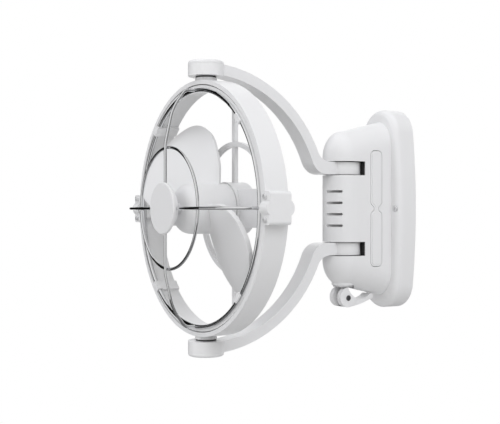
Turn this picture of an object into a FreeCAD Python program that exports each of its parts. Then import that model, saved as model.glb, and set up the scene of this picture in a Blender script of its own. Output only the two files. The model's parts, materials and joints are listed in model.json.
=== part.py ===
import FreeCAD, Part
import math
import os

V = FreeCAD.Vector
os.makedirs("parts", exist_ok=True)

# Main sizes. The wall is the plane Y = 0 and the fan looks toward -Y.
hinge_to_wall = 62.0
ring_r = 105.0
fit = 0.05
press = 0.02
clear = 0.3
tiny = 0.01

# Wall base
wall = 2.5
nose_r = 18.5
base_half_h = 70.4
base_rise_ratio = 0.234
base_flat_r = 0.5
base_edge_h = 24.0
flange_depth = 21.0
flange_half_w = 28.5
flange_bow = 4.0
flange_end_z = 69.7
flange_edge_r = 6.0
vent_h = 2.2
vent_pitch = 10.15
vent_count = 4
vent_start = 3.0
vent_span = 45.0

# Wall plate and its screws
plate_t = 4.0
wall_hole_r = 2.5
wall_hole_x = 28.0
wall_hole_z = 120.0
column_r = 2.2
column_gap = 0.2
screw_r = 1.2
screw_head_r = 2.6
screw_head_h = 1.8
screw_sink = 1.4
grommet_z = -50.0
grommet_r = 6.0
cable_r = 3.0
grommet_lip = 2.0
grommet_lip_t = 1.5

# Arm hinge
arm_mid_z = 36.0
hub_h = 11.2
hub_r = 15.75
slot_gap = 0.6
slot_back_gap = 2.5
skewer_r = 3.0
skewer_proud = 2.0
sleeve_t = 2.5
nut_r = 6.0
nut_h = 5.0
washer_t = 0.5
washer_w = 6.5

# Cam lever under the base
seat_sink = 1.4
seat_rim = 1.2
seat_pad_t = 4.5
cam_washer_r = 9.0
cam_washer_t = 1.5
cam_r = 9.0
cam_ecc = 0.6
cam_half_w = 8.0
cam_pin_r = 2.0
eye_wall = 2.4
eye_half_w = 3.0
lever_half_w = 6.0
lever_reach = 30.0
lever_tip_h = 4.6
lever_tip_up = 0.5
lever_bend = 14.0
lever_under = 6.4
lever_over = 1.6
lever_root_back = 5.4
lever_root_up = 4.5
cam_slot_floor = 8.1

# Control rocker, board and switches
rocker_behind = 23.7
rocker_half_h = 52.0
rocker_half_w = 6.25
rocker_corner = 4.0
rocker_waist = 2.4
rocker_neck_h = 6.2
rocker_gap = 0.5
rocker_t = 2.0
rocker_panel_in = 1.6
rocker_panel_rise = 0.4
rocker_pin_r = 1.0
rocker_pin_depth = 4.1
lug_w = 2.5
lug_h = 2.0
lug_depth = 5.7
lug_gap = 0.2
board_depth = 13.5
board_t = 1.6
board_front = 20.0
board_back = 9.0
board_half_h = 56.0
board_tab_z = 30.0
board_tab_h = 12.0
board_tab_t = 2.5
board_tab_reach = 12.0
switch_w = 6.0
switch_h = 4.0
switch_z = 46.0
plunger_r = 1.6
plunger_gap = 2.2

# Yoke arms
arm_gap = 5.5
arm_t = 9.0
arm_half_w = 8.5
arm_outer_bend = 14.0
arm_inner_bend = 17.0
hinge_reach = 23.0
boss_r = 14.9
boss_h = 9.6
cap_h = 3.2
cap_edge_r = 2.2
pocket_r = 9.5
pocket_floor = 3.6
plug_t = 1.5
plug_h = 2.0

# Gimbal ring
ring_wall = 3.5
ring_front = 9.9
ring_back = 10.6
stub_r = 9.0
stub_rise = 2.6
pivot_r = 3.5
pivot_floor = 0.4
pivot_proud = 0.8
pivot_washer_r = 8.5
pivot_washer_t = 1.0
pivot_nut_r = 6.5
pivot_nut_h = 3.4
block_depth = 7.5
block_half_h = 12.4
block_back = 8.0
block_edge_r = 2.5
barrel_r = 6.5
barrel_y = 4.5
cover_t = 1.3
cover_step = 0.7
cover_edge_r = 2.2
cover_bulge_half = 5.0
cover_bulge_h = 2.4
cover_screw_in = 5.7
cover_screw_edge = 3.8
cover_screw_r = 2.1

# Fan head inside the ring
head_gap = 0.8
head_wall = 2.5
head_half = 9.4
axle_r = 5.0
axle_sink = 3.6
axle_cover = 3.0
axle_block_depth = 5.0
axle_block_half = 8.0
beam_half_h = 15.6
beam_front = 20.2
beam_back = 27.0
beam_end = 11.3
beam_end_front = 19.5
beam_end_back = 20.5
beam_corner = 9.0
beam_t = 8.0
strut_half_w = 2.2
strut_t = 3.5
strut_back = 29.8
strut_end = 11.8
rear_ring_r = 56.0
rear_ring_w = 4.0
cup_r = 22.0
cup_wall = 2.4
cup_front = 17.3
cup_depth = 18.7

# Wire guard and badge
wire_r = 1.25
guard_seat = 0.15
guard_rim_front = 9.5
guard_shoulder_front = 19.5
guard_shoulder_bend = 6.0
guard_slope_in = 15.4
guard_slope_front = 31.0
guard_slope_bend = 40.0
guard_mid_r = 49.1
guard_flat_past = 3.4
guard_flat_front = 37.6
guard_flat_bend = 30.0
clip_count = 4
clip_turn = 45.0
clip_half_w = 4.5
clip_in = 2.2
clip_front = 12.0
clip_neck = 7.0
badge_r = 20.9
badge_t = 2.45
badge_edge_r = 0.9
badge_back_r = 16.0
badge_back_t = 4.35

# Rotor and motor
rotor_gap = 0.5
spinner_r = 21.0
spinner_nose_r = 12.0
spinner_front = 25.0
spinner_shoulder = 14.0
spinner_bulge = 2.8
spinner_wall = 2.4
core_r = 6.0
shaft_r = 2.0
shaft_nut_r = 4.0
shaft_nut_h = 3.0
motor_sink = 0.5
motor_len = 15.2
bearing_r = 6.0
bearing_w = 4.0
motor_screw_ring = 15.0
blade_count = 2
blade_angle = 148.0
blade_sink = 1.4
blade_tip_gap = 8.3
blade_chord = 40.0
blade_t = 4.0
blade_camber = 2.5
blade_slope_ratio = 0.42
blade_forward = 3.0

# Blade outline: shares of the blade's reach, and edges as shares of its chord
blade_stations = [0.0, 0.18, 0.38, 0.58, 0.75, 0.865, 0.95, 1.0]
blade_leads = [0.35, 0.60, 0.78, 0.85, 0.84, 0.75, 0.62, 0.43]
blade_trails = [-0.75, -1.00, -1.10, -1.09, -0.97, -0.75, -0.43, -0.08]

# Sizes and places that follow from those above
arm_in_r = ring_r + arm_gap
arm_out_r = arm_in_r + arm_t
hinge_y = -hinge_to_wall
ring_y = hinge_y - hinge_reach - arm_out_r
flange_y = -flange_depth
column_x = flange_half_w - wall - column_gap - column_r
slot_half = hub_h / 2 + slot_gap
slot_low = arm_mid_z - slot_half
slot_high = arm_mid_z + slot_half
slot_behind = arm_half_w + slot_back_gap
hub_low = arm_mid_z - hub_h / 2
hub_high = arm_mid_z + hub_h / 2
sleeve_r = skewer_r + sleeve_t
seat_z = seat_sink - base_half_h
seat_r = cam_washer_r + seat_rim
eye_r = cam_pin_r + eye_wall
cam_slot_half = eye_half_w + clear
cam_z = seat_z - cam_washer_t - clear - cam_r - cam_ecc
rocker_y = hinge_y + rocker_behind
pin_x = nose_r - rocker_pin_depth
board_x = nose_r - board_depth
plunger_tip = nose_r - rocker_t - plunger_gap
ring_in_r = ring_r - ring_wall
block_out = ring_r + block_depth
stub_top = ring_r + stub_rise
boss_low_z = stub_top + pivot_washer_t + clear
boss_top = boss_low_z + boss_h
nut_z = boss_low_z + pocket_floor + clear
pivot_root = ring_in_r + pivot_floor
pivot_top = nut_z + pivot_nut_h + pivot_proud
cover_in = ring_in_r + cover_step
cover_screw_x = block_out - cover_screw_in
cover_screw_z = block_half_h - cover_screw_edge
head_r = ring_in_r - head_gap
head_in_r = head_r - head_wall
axle_root = head_in_r - axle_sink
axle_tip = block_out - axle_cover
axle_block_in = head_in_r - axle_block_depth
beam_turn = head_in_r - beam_end
strut_turn = head_in_r - strut_end
cup_in = cup_r - cup_wall
cup_back = cup_front + cup_depth
motor_r = cup_in - clear
motor_front = cup_front + motor_sink
spinner_back = cup_front - rotor_gap
guard_rim_r = head_in_r - wire_r - guard_seat
guard_slope_r = guard_rim_r - guard_slope_in
guard_flat_r = guard_mid_r + guard_flat_past
badge_front = guard_flat_front + wire_r + badge_t
badge_back_y = guard_flat_front + wire_r - badge_back_t
blade_root = spinner_r - blade_sink
blade_reach = head_in_r - blade_tip_gap


def cyl(r, start, end):
    way = end - start
    return Part.makeCylinder(r, way.Length, start, way)


def tube(r_out, r_in, start, end):
    return cyl(r_out, start, end).cut(cyl(r_in, start, end))


def block(x0, x1, y0, y1, z0, z1):
    return Part.makeBox(x1 - x0, y1 - y0, z1 - z0, V(x0, y0, z0))


def on_y(x, z, y0, y1):
    return V(x, y0, z), V(x, y1, z)


def on_z(y, z0, z1):
    return V(0, y, z0), V(0, y, z1)


def on_x(y, z, x0, x1):
    return V(x0, y, z), V(x1, y, z)


def prism(points, way):
    return Part.Face(Part.makePolygon(points + [points[0]])).extrude(way)


def arc(a, b, c):
    return Part.Arc(a, b, c).toShape()


def line(a, b):
    return Part.makeLine(a, b)


# Quarter of an ellipse from the end of its tall half axis to the end of its short one.
def quarter(centre, tall, short):
    whole = Part.Ellipse(centre + tall, centre + short, centre)
    return Part.ArcOfEllipse(whole, 0, math.pi / 2).toShape()


# Path of straight runs joined by tangent bends of the given radii.
def round_path(points, radii):
    edges = []
    last = points[0]
    for k in range(1, len(points) - 1):
        back_way = (points[k - 1] - points[k]).normalize()
        next_way = (points[k + 1] - points[k]).normalize()
        half = back_way.getAngle(next_way) / 2
        r = radii[k - 1]
        run = r / math.tan(half)
        start = points[k] + back_way * run
        end = points[k] + next_way * run
        lift = r / math.sin(half) - r
        middle = points[k] + (back_way + next_way).normalize() * lift
        edges = edges + [line(last, start), arc(start, middle, end)]
        last = end
    edges.append(line(last, points[-1]))
    return Part.Wire(edges)


def hexagon(r, y, z0, z1):
    pts = []
    for k in range(6):
        a = math.radians(60 * k)
        pts.append(V(r * math.cos(a), y + r * math.sin(a), z0))
    return prism(pts, V(0, 0, z1 - z0))


def flip_x(shape):
    return shape.mirror(V(0, 0, 0), V(1, 0, 0))


def flip_z(shape):
    return shape.mirror(V(0, 0, 0), V(0, 0, 1))


def join(shapes):
    return shapes[0].fuse(shapes[1:]).removeSplitter()


def save(name, shapes):
    shape = Part.makeCompound(shapes) if isinstance(shapes, list) else shapes
    shape.exportStep("parts/" + name + ".step")


# Base body: half round nose about the hinge line, and sides that rise toward the wall.
def base_body(inset, y_end):
    r = nose_r - inset
    top = base_half_h - inset
    flat = base_flat_r
    wide = r - flat
    tall = base_edge_h - inset
    knee = top - tall
    run = y_end - hinge_y
    low = -base_rise_ratio * run

    def at(x, z):
        return V(x, hinge_y, z)

    half = Part.Face(Part.Wire([
        line(at(0, -top), at(flat, -top)),
        quarter(at(flat, -knee), V(0, 0, -tall), V(wide, 0, 0)),
        line(at(r, -knee), at(r, knee)),
        quarter(at(flat, knee), V(0, 0, tall), V(wide, 0, 0)),
        line(at(flat, top), at(0, top)),
        line(at(0, top), at(0, -top)),
    ]))
    nose = half.revolve(at(0, 0), V(0, 0, -1), 180)
    section = Part.Face(Part.Wire([
        line(at(r, low), at(r, knee)),
        quarter(at(flat, knee), V(0, 0, tall), V(wide, 0, 0)),
        line(at(flat, top), at(-flat, top)),
        quarter(at(-flat, knee), V(0, 0, tall), V(-wide, 0, 0)),
        line(at(-r, knee), at(-r, low)),
        line(at(-r, low), at(r, low)),
    ]))
    upper = section.extrude(V(0, run, base_rise_ratio * run))
    return join([nose, upper, flip_z(upper)])


# Tall outline with bowed sides and round ends that run on from the sides.
def flange_plate(inset, y0, y1):
    mid = flange_half_w - inset
    end = mid - flange_bow
    lean = 2 * math.atan(flange_bow / flange_end_z)
    end_r = end / math.cos(lean)
    tip = flange_end_z + end_r * (1 - math.sin(lean))
    z = flange_end_z
    face = Part.Face(Part.Wire([
        arc(V(end, y0, -z), V(mid, y0, 0), V(end, y0, z)),
        arc(V(end, y0, z), V(0, y0, tip), V(-end, y0, z)),
        arc(V(-end, y0, z), V(-mid, y0, 0), V(-end, y0, -z)),
        arc(V(-end, y0, -z), V(0, y0, -tip), V(end, y0, -z)),
    ]))
    return face.extrude(V(0, y1 - y0, 0))


# Rocker outline: two long lobes joined by a neck, grown where it is an opening.
def bone(grow, x0, x1):
    w = rocker_half_w
    tip = rocker_half_h
    corner = rocker_corner
    neck = rocker_neck_h
    step = w - rocker_waist
    r = (neck ** 2 + step ** 2) / (4 * step)
    half = math.asin(neck / (2 * r)) / 2
    side_in = r - r * math.cos(half)
    side_down = r * math.sin(half)
    diag = corner * (1 - math.sqrt(0.5))

    def at(y, z):
        return V(x0, rocker_y + y, z)

    edges = []
    for s, up in ((1, 1), (1, -1), (-1, -1), (-1, 1)):
        lobe = [
            arc(at(s * (w - corner), up * tip), at(s * (w - diag), up * (tip - diag)),
                at(s * w, up * (tip - corner))),
            line(at(s * w, up * (tip - corner)), at(s * w, up * neck)),
            arc(at(s * w, up * neck), at(s * (w - side_in), up * (neck - side_down)),
                at(s * (w - step / 2), up * neck / 2)),
            arc(at(s * (w - step / 2), up * neck / 2), at(s * (rocker_waist + side_in), up * side_down),
                at(s * rocker_waist, 0)),
        ]
        end = line(at(-s * (w - corner), up * tip), at(s * (w - corner), up * tip))
        edges = edges + ([end] + lobe if s == up else lobe[::-1])
    face = Part.Face(Part.Wire(edges))
    if grow:
        face = face.makeOffset2D(grow)
    return face.extrude(V(x1 - x0, 0, 0))


# Space for one arm root, grown by the wall where it is the shelf round it.
def arm_pocket(grow):
    low = slot_low - grow
    high = slot_high + grow
    span = nose_r + wall
    front = hinge_y - span
    box = block(-span, span, front, hinge_y + slot_behind + grow, low, high)
    return box.fuse(cyl(hub_r + slot_gap + grow, *on_z(hinge_y, low, high)))


# Wall base housing: body, flange, hollow, arm slots, vents and bosses.
body = base_body(0, flange_y + wall)
flange = flange_plate(0, flange_y, 0)
rim = [e for e in flange.Edges if abs(e.CenterOfMass.y - flange_y) < tiny]
flange = flange.makeFillet(flange_edge_r, rim)
hollow = base_body(wall, -plate_t / 2)
for pocket in (arm_pocket(wall), flip_z(arm_pocket(wall))):
    hollow = hollow.cut(pocket)
housing = body.fuse(flange).cut(hollow)
housing = housing.cut(flange_plate(wall, flange_y + wall, wall))
for pocket in (arm_pocket(0), flip_z(arm_pocket(0))):
    housing = housing.cut(pocket)
housing = housing.fuse(cyl(seat_r, *on_z(hinge_y, seat_z, seat_z + seat_pad_t)))
housing = housing.cut(cyl(seat_r, *on_z(hinge_y, seat_z - cam_r, seat_z)))
vent_turn = FreeCAD.Rotation(V(0, 0, 1), vent_start - 90)
for k in range(vent_count):
    z = (k - (vent_count - 1) / 2) * vent_pitch - vent_h / 2
    outer = Part.makeCylinder(nose_r + wall, vent_h, V(0, 0, 0), V(0, 0, 1), vent_span)
    vent = outer.cut(Part.makeCylinder(nose_r - 2 * wall, vent_h))
    vent.Placement = FreeCAD.Placement(V(0, hinge_y, z), vent_turn)
    housing = housing.cut(vent)
    for turn in (vent_start, vent_start + vent_span):
        a = math.radians(turn - 90)
        way = V(math.cos(a), math.sin(a), 0)
        middle = V(0, hinge_y, z + vent_h / 2)
        end = cyl(vent_h / 2, middle + way * (nose_r - 2 * wall), middle + way * (nose_r + wall))
        housing = housing.cut(end)
housing = housing.cut(bone(rocker_gap, nose_r - 2 * wall, nose_r + wall))
lugs = []
for side in (-1, 1):
    near = rocker_y + side * (rocker_waist + rocker_gap + lug_gap)
    far = near + side * lug_w
    lug = block(nose_r - lug_depth, nose_r - wall, min(near, far), max(near, far), -lug_h, lug_h)
    lugs.append(lug)
housing = housing.fuse(lugs)
pin_half = rocker_waist + rocker_gap + lug_gap + lug_w
pin_from = V(pin_x, rocker_y - pin_half, 0)
pin_to = V(pin_x, rocker_y + pin_half, 0)
housing = housing.cut(cyl(rocker_pin_r + press, pin_from, pin_to))
housing = housing.cut(cyl(skewer_r + clear, *on_z(hinge_y, seat_z - wall, slot_high + 2 * wall)))
housing = housing.cut(cyl(sleeve_r + fit, *on_z(hinge_y, -slot_low - wall, slot_low + wall)))
for side in (-1, 1):
    hole = cyl(screw_r + clear, *on_y(side * column_x, 0, flange_y - wall, flange_y + 2 * wall))
    sink = cyl(screw_head_r + clear, *on_y(side * column_x, 0, flange_y - wall, flange_y + screw_sink))
    housing = housing.cut(hole).cut(sink)
save("base_housing", housing)

# Wall plate with the wall holes, screw columns and board tabs.
plate = flange_plate(wall + clear, -plate_t, 0)
columns = []
tabs = []
for side in (-1, 1):
    columns.append(cyl(column_r, *on_y(side * column_x, 0, flange_y + wall, -plate_t)))
    z0 = side * board_tab_z - board_tab_h / 2
    tab = block(board_x - board_tab_t, board_x, -plate_t - board_tab_reach, -plate_t,
                z0, z0 + board_tab_h)
    tabs.append(tab)
plate = join([plate] + columns + tabs)
board_screw_y = -(board_back + plate_t + board_tab_reach) / 2
for side in (-1, 1):
    plate = plate.cut(cyl(screw_r + press, *on_y(side * column_x, 0, flange_y, -plate_t / 2)))
    hole = on_x(board_screw_y, side * board_tab_z, board_x - board_tab_t, board_x)
    plate = plate.cut(cyl(screw_r + press, *hole))
    for up in (-1, 1):
        hole = on_y(side * wall_hole_x / 2, up * wall_hole_z / 2, -plate_t, 0)
        plate = plate.cut(cyl(wall_hole_r, *hole))
plate = plate.cut(cyl(grommet_r, *on_y(0, grommet_z, -plate_t, 0)))
save("wall_plate", plate)


# Screw with a round head, pointing from its head along the given way.
def screw(seat, way, length, head_r, r):
    tip = seat + way * length
    top = seat - way * screw_head_h
    return cyl(r, seat, tip).fuse(cyl(head_r, top, seat))


save("housing_screws", [
    screw(V(side * column_x, flange_y + screw_sink, 0), V(0, 1, 0), flange_depth - plate_t - screw_sink,
          screw_head_r, screw_r)
    for side in (-1, 1)])

grommet = tube(grommet_r - press, cable_r, *on_y(0, grommet_z, -plate_t, 0))
lip = on_y(0, grommet_z, -plate_t - grommet_lip_t, -plate_t)
save("cable_grommet", grommet.fuse(tube(grommet_r + grommet_lip, cable_r, *lip)))

# Circuit board, its screws and the two push switches under the rocker.
board = block(board_x, board_x + board_t, hinge_y + board_front, -board_back,
              -board_half_h, board_half_h)
switches = []
board_screws = []
for side in (-1, 1):
    hole = on_x(board_screw_y, side * board_tab_z, board_x, board_x + board_t)
    board = board.cut(cyl(screw_r + clear, *hole))
    seat = V(board_x + board_t, board_screw_y, side * board_tab_z)
    board_screws.append(screw(seat, V(-1, 0, 0), board_t + board_tab_t, 2 * screw_r, screw_r))
    z = side * switch_z
    case = block(board_x + board_t, board_x + board_t + switch_h,
                 rocker_y - switch_w / 2, rocker_y + switch_w / 2, z - switch_w / 2, z + switch_w / 2)
    stem = cyl(plunger_r, *on_x(rocker_y, z, board_x + board_t + switch_h, plunger_tip))
    switches.append(case.fuse(stem))
save("circuit_board", board)
save("board_screws", board_screws)
save("push_switches", switches)

# Rocker with its rib on the pin.
rocker = bone(0, nose_r - rocker_t, nose_r)
panel = bone(-rocker_panel_in, nose_r - rocker_panel_rise, nose_r + rocker_panel_rise)
rib = block(nose_r - lug_depth, nose_r - rocker_t, rocker_y - rocker_waist, rocker_y + rocker_waist,
            -lug_h, lug_h)
rocker = join([rocker, panel, rib]).cut(cyl(rocker_pin_r + fit, pin_from, pin_to))
save("control_rocker", rocker)
save("rocker_pin", cyl(rocker_pin_r, pin_from, pin_to))

# Hinge skewer with an eye for the cam pin, its nut, sleeve and washers.
skewer_top = slot_high + wall + nut_h + skewer_proud
skewer = cyl(skewer_r, *on_z(hinge_y, cam_z, skewer_top))
skewer = skewer.fuse(cyl(eye_r, *on_x(hinge_y, cam_z, -eye_half_w, eye_half_w)))
skewer = skewer.cut(cyl(cam_pin_r + fit, *on_x(hinge_y, cam_z, -eye_half_w, eye_half_w)))
save("hinge_skewer", skewer)
nut = hexagon(nut_r, hinge_y, slot_high + wall, slot_high + wall + nut_h)
nut = nut.cut(cyl(skewer_r + press, *on_z(hinge_y, slot_high, skewer_top)))
save("skewer_nut", nut)
save("hinge_sleeve", tube(sleeve_r, skewer_r + clear, *on_z(hinge_y, -hub_high, hub_high)))
washers = []
for z in (slot_low, slot_high - washer_t):
    ring = tube(sleeve_r + washer_w, sleeve_r + clear, *on_z(hinge_y, z, z + washer_t))
    washers = washers + [ring, flip_z(ring)]
save("hinge_washers", washers)
seat = on_z(hinge_y, seat_z - cam_washer_t, seat_z)
save("cam_washer", tube(cam_washer_r, skewer_r + clear, *seat))

# Cam lever: round head split for the skewer, and a swept handle.
head = cyl(cam_r, *on_x(hinge_y, cam_z + cam_ecc, -cam_half_w, cam_half_w))
under = cam_z + cam_ecc - cam_r
tip_half = lever_tip_h / 2
tip_z = cam_z + lever_tip_up
tip_y = hinge_y + lever_reach - tip_half
bend_y = hinge_y + lever_bend


def at_edge(y, z):
    return V(-lever_half_w, y, z)


tip_low = at_edge(tip_y, tip_z - tip_half)
tip_high = at_edge(tip_y, tip_z + tip_half)
low = at_edge(hinge_y, under)
high = at_edge(hinge_y + lever_root_back, cam_z + lever_root_up)
handle = Part.Face(Part.Wire([
    arc(low, at_edge(bend_y, cam_z - lever_under), tip_low),
    arc(tip_low, at_edge(hinge_y + lever_reach, tip_z), tip_high),
    arc(tip_high, at_edge(bend_y, cam_z + lever_over), high),
    line(high, low),
])).extrude(V(2 * lever_half_w, 0, 0))
lever = join([head, handle])
lever = lever.cut(block(-cam_slot_half, cam_slot_half, hinge_y - 2 * cam_r, hinge_y + eye_r + clear,
                        cam_z - cam_slot_floor, cam_z + 2 * cam_r))
lever = lever.cut(cyl(cam_pin_r + press, *on_x(hinge_y, cam_z, -cam_half_w, cam_half_w)))
save("cam_lever", lever)
save("cam_pin", cyl(cam_pin_r, *on_x(hinge_y, cam_z, -cam_half_w, cam_half_w)))


# Point on a circle about the ring centre, in the plane X = x.
def ring_point(x, r, degrees):
    a = math.radians(degrees)
    return V(x, ring_y + r * math.cos(a), r * math.sin(a))


# Upper arm: strap bent round the ring, flat root, hub and end boss.
arm_low_angle = math.degrees(math.asin(hub_low / arm_in_r))
x = -arm_half_w
middle = (90 + arm_low_angle) / 2
strap = Part.Face(Part.Wire([
    arc(ring_point(x, arm_out_r, 90), ring_point(x, arm_out_r, middle),
        ring_point(x, arm_out_r, arm_low_angle)),
    line(ring_point(x, arm_out_r, arm_low_angle), ring_point(x, arm_in_r, arm_low_angle)),
    arc(ring_point(x, arm_in_r, arm_low_angle), ring_point(x, arm_in_r, middle),
        ring_point(x, arm_in_r, 90)),
    line(ring_point(x, arm_in_r, 90), ring_point(x, arm_out_r, 90)),
]))
root_from = ring_y + math.sqrt(arm_in_r ** 2 - hub_low ** 2)
root = Part.makePlane(hinge_y - root_from, hub_h, V(x, root_from, hub_low), V(1, 0, 0), V(0, 1, 0))
across = V(2 * arm_half_w, 0, 0)
arm = join([strap.extrude(across), root.extrude(across)])
if arm.ShapeType == "Compound":
    arm = arm.Solids[0]
outer_y = ring_y + math.sqrt(arm_out_r ** 2 - hub_high ** 2)


def cross_edges(shape, y, z):
    return [e for e in shape.Edges
            if e.BoundBox.XLength > arm_half_w
            and abs(e.CenterOfMass.y - y) < slot_gap and abs(e.CenterOfMass.z - z) < slot_gap]


arm = arm.makeFillet(arm_outer_bend, cross_edges(arm, outer_y, hub_high))
arm = arm.makeFillet(arm_inner_bend, cross_edges(arm, root_from, hub_low))
arm = join([arm, cyl(hub_r, *on_z(hinge_y, hub_low, hub_high)),
            cyl(boss_r, *on_z(ring_y, boss_low_z, boss_top))])
arm = arm.cut(cyl(boss_r, *on_z(ring_y, boss_top, boss_top + arm_t)))
arm = arm.cut(cyl(sleeve_r + press, *on_z(hinge_y, hub_low, hub_high)))
arm = arm.cut(cyl(pivot_r + fit, *on_z(ring_y, boss_low_z, boss_top)))
arm = arm.cut(cyl(pocket_r, *on_z(ring_y, boss_low_z + pocket_floor, boss_top)))
save("upper_arm", arm)
save("lower_arm", flip_z(arm))

# Lids on the arm ends.
lid = cyl(boss_r, *on_z(ring_y, boss_top, boss_top + cap_h))
rim = [e for e in lid.Edges if abs(e.CenterOfMass.z - boss_top - cap_h) < tiny]
lid = lid.makeFillet(cap_edge_r, rim)
lid = lid.fuse(tube(pocket_r - fit, pocket_r - plug_t, *on_z(ring_y, boss_top - plug_h, boss_top)))
save("upper_lid", lid)
save("lower_lid", flip_z(lid))

# Gimbal ring with pivot stubs and side blocks.
band_from = ring_y - ring_front
band_to = ring_y + ring_back
band = on_y(0, 0, band_from, band_to)
stub = cyl(stub_r, *on_z(ring_y, ring_in_r - arm_t, stub_top))
side_block = block(ring_in_r - arm_t, block_out, band_from, ring_y + block_back,
                   -block_half_h, block_half_h)
edges = [e for e in side_block.Edges
         if abs(e.CenterOfMass.x - block_out) < tiny and e.BoundBox.YLength > block_back]
side_block = side_block.makeFillet(block_edge_r, edges)
barrel = cyl(barrel_r, *on_x(ring_y + barrel_y, 0, ring_in_r - arm_t, block_out))
side_block = side_block.fuse(barrel)
ring = join([cyl(ring_r, *band), stub, flip_z(stub), side_block, flip_x(side_block)])
ring = ring.cut(cyl(ring_in_r, *on_y(0, 0, band_from - wall, band_to + wall)))
for side in (-1, 1):
    ring = ring.cut(cyl(axle_r + fit, *on_x(ring_y, 0, side * head_r, side * (axle_tip + clear))))
    ring = ring.cut(cyl(pivot_r + press, *on_z(ring_y, side * pivot_root, side * stub_top)))
    for up in (-1, 1):
        hole = on_y(side * cover_screw_x, up * cover_screw_z, band_from, ring_y)
        ring = ring.cut(cyl(screw_r + press, *hole))
save("gimbal_ring", ring)

# Screwed covers on the front of the side blocks.
bulge_r = (cover_bulge_half ** 2 + cover_bulge_h ** 2) / (2 * cover_bulge_h)
bulge_y = band_from - cover_t - cover_bulge_h + bulge_r
cover = block(cover_in, block_out, band_from - cover_t, band_from, -block_half_h, block_half_h)
edges = [e for e in cover.Edges if e.BoundBox.YLength > cover_t / 2]
cover = cover.makeFillet(cover_edge_r, edges)
bulge = cyl(bulge_r, *on_x(bulge_y, 0, cover_in, block_out))
bulge = bulge.common(block(cover_in, block_out, band_from - 2 * bulge_r, band_from,
                           -bulge_r, bulge_r))
cover = cover.fuse(bulge).removeSplitter()
cover_screws = []
for up in (-1, 1):
    hole = on_y(cover_screw_x, up * cover_screw_z, band_from - cover_t, band_from)
    cover = cover.cut(cyl(screw_r + clear, *hole))
    seat = V(cover_screw_x, band_from - cover_t, up * cover_screw_z)
    one = screw(seat, V(0, 1, 0), ring_front, cover_screw_r, screw_r)
    cover_screws = cover_screws + [one, flip_x(one)]
save("right_block_cover", cover)
save("left_block_cover", flip_x(cover))
save("cover_screws", cover_screws)

# Pivot pins in the ring, their washers and nuts.
pins = []
collars = []
nuts = []
for turn in (lambda s: s, flip_z):
    pins.append(turn(cyl(pivot_r, *on_z(ring_y, pivot_root, pivot_top))))
    collar = tube(pivot_washer_r, pivot_r + press, *on_z(ring_y, stub_top, boss_low_z - clear))
    collars.append(turn(collar))
    nut = hexagon(pivot_nut_r, ring_y, nut_z, nut_z + pivot_nut_h)
    nuts.append(turn(nut.cut(cyl(pivot_r + press, *on_z(ring_y, boss_low_z, pivot_top)))))
save("pivot_pins", pins)
save("pivot_washers", collars)
save("pivot_nuts", nuts)

# Fan head frame: ring, axle blocks, beams, struts, rear ring and motor cup.
rear = on_y(0, 0, ring_y + strut_back - rear_ring_w, ring_y + strut_back)
pieces = [
    tube(head_r, head_in_r, *on_y(0, 0, ring_y - head_half, ring_y + head_half)),
    tube(rear_ring_r, rear_ring_r - rear_ring_w, *rear),
    cyl(cup_r, *on_y(0, 0, ring_y + cup_front, ring_y + cup_back)),
]
beam_line = [
    V(0, ring_y + beam_front, -beam_half_h),
    V(beam_turn, ring_y + beam_end_front, -beam_half_h),
    V(axle_block_in, ring_y + head_half - beam_t, -beam_half_h),
    V(head_in_r + wall / 2, ring_y + head_half - beam_t, -beam_half_h),
    V(head_in_r + wall / 2, ring_y + head_half, -beam_half_h),
    V(head_in_r - beam_corner, ring_y + beam_end_back, -beam_half_h),
    V(rear_ring_r, ring_y + beam_back, -beam_half_h),
    V(0, ring_y + beam_back, -beam_half_h),
]
beam = prism(beam_line, V(0, 0, 2 * beam_half_h))
beam = beam.common(cyl(head_r, *on_y(0, 0, ring_y - head_half, ring_y + cup_back)))
axle_block = block(axle_block_in, head_in_r + wall / 2, ring_y - axle_block_half,
                   ring_y + axle_block_half, -axle_block_half, axle_block_half)
inner_y = ring_y + strut_back - strut_t
strut_line = [
    V(-strut_half_w, inner_y, 0),
    V(-strut_half_w, inner_y, strut_turn - strut_t / 2),
    V(-strut_half_w, ring_y + strut_t, head_in_r + clear),
    V(-strut_half_w, ring_y + strut_t, head_r - clear),
    V(-strut_half_w, ring_y + head_half, head_r - clear),
    V(-strut_half_w, ring_y + strut_back, strut_turn + strut_t / 2),
    V(-strut_half_w, ring_y + strut_back, 0),
]
strut = prism(strut_line, V(2 * strut_half_w, 0, 0))
frame = join(pieces + [beam, flip_x(beam), axle_block, flip_x(axle_block), strut, flip_z(strut)])
frame = frame.cut(cyl(cup_in, *on_y(0, 0, ring_y, ring_y + cup_back)))
for side in (-1, 1):
    hole = on_x(ring_y, 0, side * axle_root, side * (head_r + wall))
    frame = frame.cut(cyl(axle_r + press, *hole))
save("head_frame", frame)
save("tilt_axles", [cyl(axle_r, *on_x(ring_y, 0, side * axle_root, side * axle_tip))
                    for side in (-1, 1)])

# Wire guard: rim ring, middle ring and bent spokes, welded where they touch.
guard_half = [
    (guard_rim_r, guard_rim_front + wire_r + fit),
    (guard_rim_r, guard_shoulder_front),
    (guard_slope_r, guard_slope_front),
    (guard_flat_r, guard_flat_front),
]
guard_bends = [guard_shoulder_bend, guard_slope_bend, guard_flat_bend]


def bent_wire(points, bends):
    end = Part.Wire([Part.makeCircle(wire_r, points[0], V(0, 1, 0))])
    return round_path(points, bends).makePipeShell([end], True, False)


def wire_ring(r, y):
    return Part.makeTorus(r, wire_r, V(0, y, 0), V(0, 1, 0))


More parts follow.
